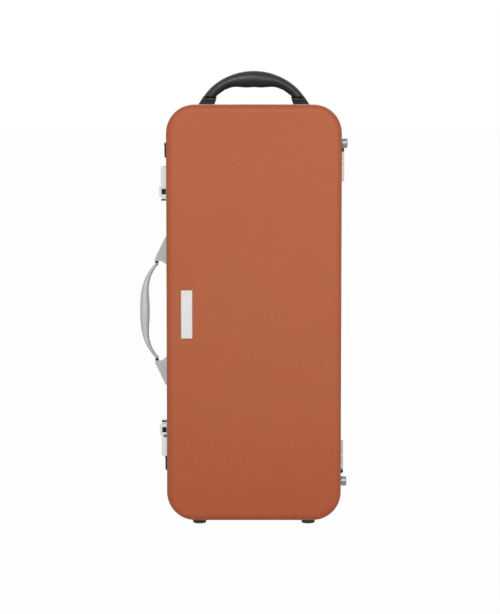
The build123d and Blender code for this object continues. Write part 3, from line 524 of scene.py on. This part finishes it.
def crown_floor(mesh):
    """The floor cushion rises in each well and is pressed down by walls and dividers."""
    rise, press, reach, room = 3.4 * mm, 0.5 * mm, 24 * mm, 4 * mm
    points = points_of(mesh)
    low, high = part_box("floor_cushion")
    seam = inside_outline(points, "floor_cushion", cushion_radius, well_inset)
    for divider in dividers:
        seam = np.minimum(seam, beside_box(points, divider))
    open_side = np.clip((high[1] - points[:, 1]) / (high[1] - low[1]), 0, 1)
    points[:, 1] -= open_side * (rise * swell(seam, reach) - press)
    return kept_inside(points, "floor_cushion", -1, room)


def crown_lid(mesh):
    """The lid cushion is quilted: sewn channels run across it, and its border is drawn in."""
    rise, draw, reach, room = 8.5 * mm, 6.5 * mm, 42 * mm, 3 * mm
    points = points_of(mesh)
    low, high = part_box("lid_cushion")
    seam = inside_outline(points, "lid_cushion", cushion_radius)
    for height in channel_heights:
        seam = np.minimum(seam, np.abs(points[:, 2] - height))
    open_side = np.clip((points[:, 1] - low[1]) / (high[1] - low[1]), 0, 1)
    points[:, 1] += open_side * (rise * swell(seam, reach) - draw)
    return kept_inside(points, "lid_cushion", 1, room)


def crown_wall(mesh):
    """The wall cushion's inner side bulges between the dividers that press on it."""
    rise, seam_reach, edge_reach, out_of_reach = 1.8 * mm, 22 * mm, 14 * mm, 40 * mm
    least_facing = 0.25
    points, normals = points_of(mesh), normals_of(mesh)
    low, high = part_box("wall_cushion")
    inwards = np.array([(low[0] + high[0]) / 2, 0, (low[2] + high[2]) / 2]) - points
    inwards[:, 1] = 0
    inwards /= np.linalg.norm(inwards, axis=1, keepdims=True)
    faces_in = np.sum(inwards * normals, axis=1) > least_facing
    seam = np.full(len(points), out_of_reach)
    for divider in dividers:
        seam = np.minimum(seam, beside_box(points, divider))
    edge = np.minimum(points[:, 1] - low[1], high[1] - points[:, 1])
    bulge = faces_in * rise * swell(seam, seam_reach) * swell(edge, edge_reach)
    return kept_inside(points + bulge[:, None] * normals, "wall_cushion", -1, 0)


def crown_divider(node):
    """A divider is a padded board: fullest in the middle of its height."""
    rise, reach = 0.7 * mm, 18 * mm
    low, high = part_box(node)

    def crown(mesh):
        points = points_of(mesh)
        edge = np.minimum(points[:, 1] - low[1], high[1] - points[:, 1])
        return points + (rise * swell(edge, reach))[:, None] * normals_of(mesh)

    return crown


# Each soft node's face size, how far it is drawn in before it swells, and its crown
pads = {
    "floor_cushion": (big_voxel, 0.8 * mm, crown_floor),
    "lid_cushion": (big_voxel, 0.8 * mm, crown_lid),
    "wall_cushion": (small_voxel, 0.4 * mm, crown_wall),
    **{divider: (small_voxel, 0.5 * mm, crown_divider(divider)) for divider in dividers},
}
soft_pieces = {node: even_copy(node, voxel, inset) for node, (voxel, inset, _) in pads.items()}
inflate([piece for node, piece in soft_pieces.items() if node != "wall_cushion"], cloth_reach)
for node, (_, _, crown) in pads.items():
    piece = soft_pieces[node]
    set_points(piece.data, crown(piece.data))
    if node in ("floor_cushion", "lid_cushion"):
        rounder = piece.modifiers.new("rounder", "SUBSURF")
        rounder.levels = rounder.render_levels = 1
        keep_result(piece)
    piece.data.materials.clear()
    piece.data.materials.append(finishes["lining"])
    piece.data.shade_smooth()
    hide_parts(node)
    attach(piece, "lid" if node == "lid_cushion" else "base")


# Welts, seams and stitches
cord_sides, stitch_sides = 10, 6
stitch_lift = 0.35
# A stitch's sections: place along its half length, share of its radius, and dip in radii
stitch_sections = ((-1, 0.35, 0.7), (-0.6, 1, 0), (0.6, 1, 0), (1, 0.35, 0.7))


def add_piece(name, corners, faces, material, body):
    """A smooth mesh piece that rides on a body."""
    mesh = bpy.data.meshes.new(name)
    mesh.from_pydata(corners, [], faces)
    mesh.materials.append(material)
    shape = bmesh.new()
    shape.from_mesh(mesh)
    bmesh.ops.recalc_face_normals(shape, faces=shape.faces)
    shape.to_mesh(mesh)
    shape.free()
    mesh.shade_smooth()
    piece = bpy.data.objects.new(name, mesh)
    scene.collection.objects.link(piece)
    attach(piece, body)
    return piece


def ring(centre, along, radius, sides):
    """The corners of a circle square to a direction."""
    along = along.normalized()
    first = along.orthogonal().normalized()
    second = along.cross(first)
    return [
        centre + radius * (math.cos(turn) * first + math.sin(turn) * second)
        for turn in (2 * math.pi * side / sides for side in range(sides))
    ]


def bridge(corners, faces, rings, closed):
    """Joins rings of corners into a tube, with capped ends where it isn't closed."""
    sides = len(rings[0])
    start = len(corners)
    for loop in rings:
        corners.extend(loop)
    count = len(rings)
    for step in range(count if closed else count - 1):
        one = start + step * sides
        two = start + (step + 1) % count * sides
        for side in range(sides):
            after = (side + 1) % sides
            faces.append((one + side, one + after, two + after, two + side))
    if not closed:
        faces.append(tuple(range(start + sides - 1, start - 1, -1)))
        faces.append(tuple(range(start + (count - 1) * sides, start + count * sides)))


def add_welt(name, paths, radius, material, body, closed=False):
    """Round cords of a seam, along one or more paths."""
    corners, faces = [], []
    for path in paths:
        rings = []
        for index, point in enumerate(path):
            before = path[index - 1] if index or closed else point
            after = path[(index + 1) % len(path)] if index + 1 < len(path) or closed else point
            along = after - before
            side = along.cross(Vector((0, 1, 0))).normalized()
            other = side.cross(along).normalized()
            rings.append([
                point + radius * (math.cos(turn) * side + math.sin(turn) * other)
                for turn in (2 * math.pi * step / cord_sides for step in range(cord_sides))
            ])
        bridge(corners, faces, rings, closed)
    return add_piece(name, corners, faces, material, body)


def add_stitches(name, rows, length, radius, material, body):
    """Short raised stitches; a row is a list of places and the surface that they lie on."""
    corners, faces = [], []
    for places, surface in rows:
        for start, end in zip(places[::2], places[1::2]):
            along = (end - start).normalized()
            _, spot, normal, _ = surface.closest_point_on_mesh((start + end) / 2)
            seat = spot + stitch_lift * radius * normal
            rings = [
                ring(seat + share * length / 2 * along - dip * radius * normal, along,
                     radius * width, stitch_sides)
                for share, width, dip in stitch_sections
            ]
            bridge(corners, faces, rings, False)
    return add_piece(name, corners, faces, material, body)


def rounded_path(node, inset, radius, y):
    """Places along a node's round-cornered outline, drawn in by an inset across and up."""
    low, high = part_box(node)
    path = []
    corner_steps = 10
    for quarter, (side_x, side_z) in enumerate(((1, 1), (-1, 1), (-1, -1), (1, -1))):
        centre_x = (high[0] if side_x > 0 else low[0]) - side_x * (inset[0] + radius)
        centre_z = (high[2] if side_z > 0 else low[2]) - side_z * (inset[1] + radius)
        for step in range(corner_steps + 1):
            turn = math.pi / 2 * (quarter + step / corner_steps)
            path.append(Vector((
                centre_x + radius * math.cos(turn), y, centre_z + radius * math.sin(turn)
            )))
    return path


def dotted(start, end, pitch):
    """Evenly spaced places between two points."""
    count = 2 * max(int((end - start).length / pitch / 2), 1)
    return [start.lerp(end, (index + 0.5) / count) for index in range(count)]


lining = finishes["lining"]
wall_low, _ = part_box("wall_cushion")
well_radius = cushion_radius - well_inset[1]
wall_welt_radius, wall_welt_sunk = 1.3 * mm, 0.6 * mm
lid_welt_radius, lid_welt_inset, lid_welt_sunk = 1.6 * mm, 4 * mm, 4.6 * mm
divider_welt_radius, divider_welt_sunk, divider_steps = 1.1 * mm, 0.2 * mm, 24
add_welt(
    "wall_cushion_welt",
    [rounded_path("wall_cushion", well_inset, well_radius, wall_low[1] + wall_welt_sunk)],
    wall_welt_radius, lining, "base", closed=True,
)
add_welt(
    "lid_cushion_welt",
    [rounded_path("lid_cushion", (lid_welt_inset, lid_welt_inset),
                  cushion_radius - lid_welt_inset, lid_high[1] - lid_welt_sunk)],
    lid_welt_radius, lining, "lid", closed=True,
)
welt_paths = []
for divider in dividers:
    low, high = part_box(divider)
    lengthwise = high[2] - low[2] > high[0] - low[0]
    middle_x = (low[0] + high[0]) / 2
    middle_z = (low[2] + high[2]) / 2
    top_y = low[1] + divider_welt_sunk
    if lengthwise:
        ends = (Vector((middle_x, top_y, low[2])), Vector((middle_x, top_y, high[2])))
    else:
        ends = (Vector((low[0], top_y, middle_z)), Vector((high[0], top_y, middle_z)))
    welt_paths.append(
        [ends[0].lerp(ends[1], step / divider_steps) for step in range(divider_steps + 1)]
    )
add_welt("divider_welts", welt_paths, divider_welt_radius, lining, "base")

# Strips of lining on the shells' walls, between the cushions and the rims
shell_corner = 46.5 * mm
lid_strip_insets, base_strip_insets = (4.2 * mm, 5.4 * mm), (4.05 * mm, 4.25 * mm)
lid_strip_start, lid_strip_end = 7 * mm, 5.9 * mm
base_strip_start, base_strip_end = 0.2 * mm, 11 * mm


def add_strip(name, insets, y_ends, body):
    """A thin band of lining along the inside of the case's wall."""
    loops = [
        rounded_path("lid_shell", (inset, inset), shell_corner - inset, y)
        for inset, y in zip(
            (insets[0], insets[0], insets[1], insets[1]),
            (y_ends[0], y_ends[1], y_ends[1], y_ends[0]),
        )
    ]
    corners, faces = [], []
    bridge(corners, faces, list(zip(*loops)), True)
    add_piece(name, corners, faces, lining, body).data.shade_flat()


add_strip(
    "lid_wall_lining", lid_strip_insets,
    (lid_low[1] + lid_strip_start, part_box("lid_rim")[0][1] + lid_strip_end), "lid",
)
add_strip(
    "base_wall_lining", base_strip_insets,
    (wall_low[1] - base_strip_start, wall_low[1] + base_strip_end), "base",
)

# Stitches along the lid cushion's sewn channels
quilt_margin, quilt_pitch = 9 * mm, 2.4 * mm
quilt_stitch, quilt_thread = 3.4 * mm, 0.45 * mm
quilt_rows = [
    (
        dotted(Vector((lid_low[0] + quilt_margin, lid_high[1], height)),
               Vector((lid_high[0] - quilt_margin, lid_high[1], height)), quilt_pitch),
        soft_pieces["lid_cushion"],
    )
    for height in channel_heights
]
add_stitches(
    "lid_cushion_stitches", quilt_rows, quilt_stitch, quilt_thread, thread, "lid"
)

# Seam and stitches along the underside of the top handle's grip
grip_low, grip_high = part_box("top_grip")
grip_y = (grip_low[1] + grip_high[1]) / 2
grip_surface = nodes["top_grip"]
grip_arc_radius, ray_start = 104 * mm, 40 * mm
grip_seam_radius, seam_half_steps, seam_steps = 0.6 * mm, 30, 88
grip_stitch, grip_thread, grip_row_off = 2.4 * mm, 0.4 * mm, 3 * mm
hub = Vector((0, grip_y, grip_high[2] - grip_arc_radius))


def under_grip(turn, off):
    """A place on the grip's underside, at an angle from its crown and off its middle line."""
    ray = Vector((math.sin(turn), 0, math.cos(turn)))
    start = hub + ray_start * ray + Vector((0, off, 0))
    _, spot, _, _ = grip_surface.ray_cast(start, ray)
    return spot


seam_turn = math.radians(32)
seam_path = [
    under_grip(seam_turn * (step / seam_half_steps - 1), 0)
    for step in range(2 * seam_half_steps + 1)
]
add_welt("top_grip_seam", [seam_path], grip_seam_radius, finishes["grip_leather"],
         "top_handle")
add_stitches(
    "top_grip_stitches",
    [
        ([under_grip(seam_turn * (2 * step / seam_steps - 1), off)
          for step in range(seam_steps + 1)], grip_surface)
        for off in (-grip_row_off, grip_row_off)
    ],
    grip_stitch, grip_thread, thread, "top_handle",
)


# Black washers in the top handle's joints, beside each tongue; their necks in the slots and the
# thin black strip over the brackets' crest are painted shade, a dark fill in the seam between
# grip and brackets
pins_low, pins_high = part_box("top_handle_pins")
joint_y = (pins_low[1] + pins_high[1]) / 2
joint_z = (pins_low[2] + pins_high[2]) / 2
washer_bore, washer_radius = 2.1 * mm, 4.85 * mm
neck_half, neck_top, neck_blend = 2.2 * mm, 5.7 * mm, 0.9
least_across, washer_steps = 0.01, 72
tongue_gaps = ((67.86 * mm, 68.06 * mm), (75.54 * mm, 75.74 * mm))
seam_shade_ends = (62.6 * mm, 81.2 * mm)
seam_shade_radii = (5.54 * mm, 5.76 * mm)
seam_shade_turns = [math.radians(65 + 5 * step) for step in range(11)]


def washer_and_neck_shade_reach(turn):
    """How far a washer reaches at an angle, with the neck that stands in the slot as painted
    shade.
    """
    up, across = math.sin(turn), abs(math.cos(turn))
    if up <= 0 or up * neck_half < across * washer_radius * neck_blend:
        return washer_radius
    return max(washer_radius, min(neck_top / up, neck_half / max(across, least_across)))


def around_joint(x, turn, reach):
    """A place round the top handle's pivot line."""
    return Vector((x, joint_y + reach * math.cos(turn), joint_z + reach * math.sin(turn)))


washer_and_shade_corners, washer_and_shade_faces = [], []
for side in (-1, 1):
    for x_low, x_high in tongue_gaps:
        bridge(washer_and_shade_corners, washer_and_shade_faces, [
            [
                around_joint(side * x, turn, reach)
                for x, reach in (
                    (x_low, washer_and_neck_shade_reach(turn)), (x_high, washer_and_neck_shade_reach(turn)),
                    (x_high, washer_bore), (x_low, washer_bore),
                )
            ]
            for turn in (2 * math.pi * step / washer_steps for step in range(washer_steps))
        ], True)
    # The thin black strip over the brackets' crest: painted shade in the seam under the grip's
    # ends
    bridge(washer_and_shade_corners, washer_and_shade_faces, [
        [
            around_joint(side * x, turn, reach)
            for x, reach in (
                (seam_shade_ends[0], seam_shade_radii[0]), (seam_shade_ends[1], seam_shade_radii[0]),
                (seam_shade_ends[1], seam_shade_radii[1]), (seam_shade_ends[0], seam_shade_radii[1]),
            )
        ]
        for turn in seam_shade_turns
    ], False)
washers_and_seam_shade = add_piece("top_grip_washers_and_seam_shade", washer_and_shade_corners, washer_and_shade_faces,
                    finishes["black_plastic"], "top_handle")
washers_and_seam_shade.data.shade_flat()

# Black end pieces over the end walls of the latch bodies
cap_corners, cap_faces = [], []
cap_wall, cap_lip = 1.75 * mm, 0.6 * mm
cap_y = (-9.0 * mm, 7.0 * mm)
# How far out from the body's inner face each layer of a cap lies, and its drawing in
cap_layers = ((0.1 * mm, 0), (9.7 * mm, 0), (10.1 * mm, 0.4 * mm))
for node, end in (("latch_body_upper", 1), ("latch_body_lower", -1)):
    low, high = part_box(node)
    start = low[2] if end > 0 else high[2]
    z_ends = (start - end * cap_lip, start + end * cap_wall)
    bridge(cap_corners, cap_faces, [
        [
            Vector((high[0] - out, y, z))
            for y, z in (
                (cap_y[0] + inset, z_ends[0] + end * inset),
                (cap_y[1] - inset, z_ends[0] + end * inset),
                (cap_y[1] - inset, z_ends[1] - end * inset),
                (cap_y[0] + inset, z_ends[1] - end * inset),
            )
        ]
        for out, inset in cap_layers
    ], False)
caps = add_piece("latch_end_caps", cap_corners, cap_faces, finishes["black_plastic"],
                 "base")
caps.data.shade_flat()

# Each slide's spring becomes a coil with its own mesh that rides on the base
for height in ("upper", "lower"):
    node = "slide_spring_" + height
    coil = bpy.data.objects.new(node + "_coil", nodes[node].data.copy())
    scene.collection.objects.link(coil)
    low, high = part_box(node)
    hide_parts(node)
    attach(coil, "base")
    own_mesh(coil)


# Floor, backdrop and light
def seen_directly(tree):
    """1 for what the camera, a gloss or a glass sees, 0 for other light."""
    path = tree.nodes.new("ShaderNodeLightPath")
    total = path.outputs["Is Camera Ray"]
    for ray_kind in ("Is Glossy Ray", "Is Transmission Ray"):
        larger = tree.nodes.new("ShaderNodeMath")
        larger.operation = "MAXIMUM"
        tree.links.new(total, larger.inputs[0])
        tree.links.new(path.outputs[ray_kind], larger.inputs[1])
        total = larger.outputs[0]
    return total


def white_light(tree, kind, strength):
    """A white background or glow."""
    made = tree.nodes.new(kind)
    made.inputs["Color"].default_value = (1, 1, 1, 1)
    made.inputs["Strength"].default_value = strength
    return made.outputs[0]


def mix_surfaces(tree, factor, first, second, surface):
    """Two shaders, mixed by a factor into an output's surface."""
    mixer = tree.nodes.new("ShaderNodeMixShader")
    for socket, value in zip(mixer.inputs, (factor, first, second)):
        tree.links.new(value, socket)
    tree.links.new(mixer.outputs[0], surface)


ambient_strength, floor_glow = 0.23, 0.975
world = bpy.data.worlds.new("studio")
scene.world = world
world.use_nodes = True
world_tree = world.node_tree
world_tree.nodes.clear()
mix_surfaces(
    world_tree, seen_directly(world_tree),
    white_light(world_tree, "ShaderNodeBackground", ambient_strength),
    white_light(world_tree, "ShaderNodeBackground", 1.0),
    world_tree.nodes.new("ShaderNodeOutputWorld").inputs["Surface"],
)

floor_material, floor_shader = new_finish("floor", Roughness=0.9, Specular_IOR_Level=0.1)
floor_tree = floor_material.node_tree
faint = speckle(floor_material, place(floor_material), 3.0)
feed(floor_material, floor_shader, Base_Color=blend_colours(
    floor_material, faint, shade((0.8, 0.8, 0.8), 1), shade((0.84, 0.84, 0.84), 1)
))
mix_surfaces(
    floor_tree, arithmetic(floor_material, "MULTIPLY", seen_directly(floor_tree), floor_glow),
    floor_shader.outputs[0], white_light(floor_tree, "ShaderNodeEmission", 1.0),
    floor_tree.nodes["Material Output"].inputs["Surface"],
)

floor_half = 80.0
floor_mesh = bpy.data.meshes.new("floor")
floor_mesh.from_pydata(
    [(-floor_half, -floor_half, 0), (floor_half, -floor_half, 0),
     (floor_half, floor_half, 0), (-floor_half, floor_half, 0)],
    [], [(0, 1, 2, 3)],
)
floor = bpy.data.objects.new("floor", floor_mesh)
floor.data.materials.append(floor_material)
scene.collection.objects.link(floor)
floor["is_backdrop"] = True


def add_lamp(name, location, target, width, height, power):
    """A rectangular soft light that points at a target."""
    lamp_data = bpy.data.lights.new(name, "AREA")
    lamp_data.shape = "RECTANGLE"
    lamp_data.size = width
    lamp_data.size_y = height
    lamp_data.energy = power
    lamp = bpy.data.objects.new(name, lamp_data)
    lamp.location = location
    aim = Vector(target) - Vector(location)
    lamp.rotation_euler = aim.to_track_quat("-Z", "Y").to_euler()
    scene.collection.objects.link(lamp)


case_middle = (0, 0, 0.36)
add_lamp("key", (-0.7, -3.0, 2.3), case_middle, 1.4, 1.4, 50)
add_lamp("fill", (1.1, -3.0, 1.0), case_middle, 1.4, 1.6, 31)
add_lamp("back", (0.2, 2.6, 1.9), case_middle, 1.6, 1.6, 30)

# The last line finds the box round everything shown, leaving out the backdrop
low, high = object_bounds()
